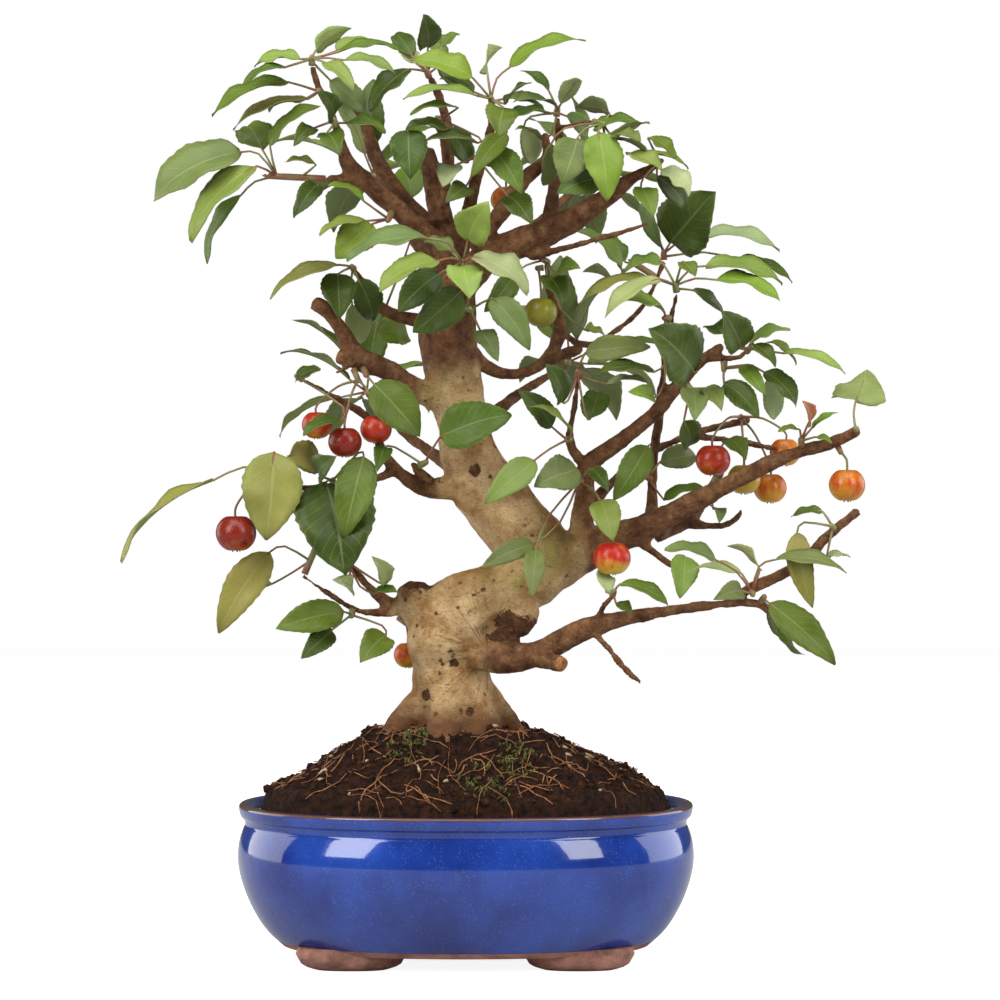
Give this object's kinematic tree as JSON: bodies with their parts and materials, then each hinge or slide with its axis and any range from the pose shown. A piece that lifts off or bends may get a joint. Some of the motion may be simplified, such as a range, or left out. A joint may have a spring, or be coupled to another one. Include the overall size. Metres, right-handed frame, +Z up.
{
  "type": "crabapple bonsai",
  "caption": "Crabapple bonsai with a bent trunk, leafy shoots and small fruit, in an oval pot with a deep blue glaze.",
  "frame": {"origin": "on the ground, under the middle of the object's bounding box", "axes": "+Z up; +X to the right seen from the front; +Y away from the front"},
  "size_m": [0.348, 0.1886, 0.4302],
  "materials": {
    "glaze": "gloss",
    "soil": "matte",
    "bark": "matte",
    "leaf": "satin",
    "fruit": "satin"
  },
  "bodies": {
    "root": {"fruit_behind_trunk": "fruit", "fruit_crown": "fruit", "fruit_far_left": "fruit", "fruit_far_right": "fruit", "fruit_inner": "fruit", "fruit_left_three": "fruit", "fruit_red_middle": "fruit", "fruit_right_cluster": "fruit", "pot": "glaze", "shoot_back_left_end": "leaf", "shoot_back_low_end": "leaf", "shoot_back_middle_end": "leaf", "shoot_back_right_end": "leaf", "shoot_crown_bud": "leaf", "shoot_crown_inner": "leaf", "shoot_crown_right_bud": "leaf", "shoot_crown_spur": "leaf", "shoot_crown_tip": "leaf", "shoot_drop_end": "leaf", "shoot_fork_bud": "leaf", "shoot_fork_end": "leaf", "shoot_front_low": "leaf", "shoot_front_rosette": "leaf", "shoot_hook_rosette": "leaf", "shoot_hook_shoot": "leaf", "shoot_left_back_low": "leaf", "shoot_left_back_tip": "leaf", "shoot_left_bud": "leaf", "shoot_left_far": "leaf", "shoot_left_fruit_spur": "leaf", "shoot_left_heart": "leaf", "shoot_left_low_out": "leaf", "shoot_left_low_tip": "leaf", "shoot_left_low_twig": "leaf", "shoot_left_outer": "leaf", "shoot_left_pale_bud": "leaf", "shoot_left_twig_tip": "leaf", "shoot_limb_end": "leaf", "shoot_low_right_end": "leaf", "shoot_low_rise_tip": "leaf", "shoot_post_shoot": "leaf", "shoot_right_bud": "leaf", "shoot_right_inner": "leaf", "shoot_right_low_bud": "leaf", "shoot_right_shoulder": "leaf", "shoot_riser_spur": "leaf", "shoot_rod_tip": "leaf", "shoot_spire_low": "leaf", "shoot_spire_tip": "leaf", "shoot_top_left": "leaf", "shoot_top_left_low": "leaf", "shoot_trunk_bud": "leaf", "shoot_twig_side": "leaf", "shoot_twig_tip": "leaf", "shoot_under_shoot": "leaf", "shoot_wand_tip": "leaf", "shoot_young_shoot": "leaf", "soil": "soil", "tree_wood": "bark"}
  },
  "joints": []
}
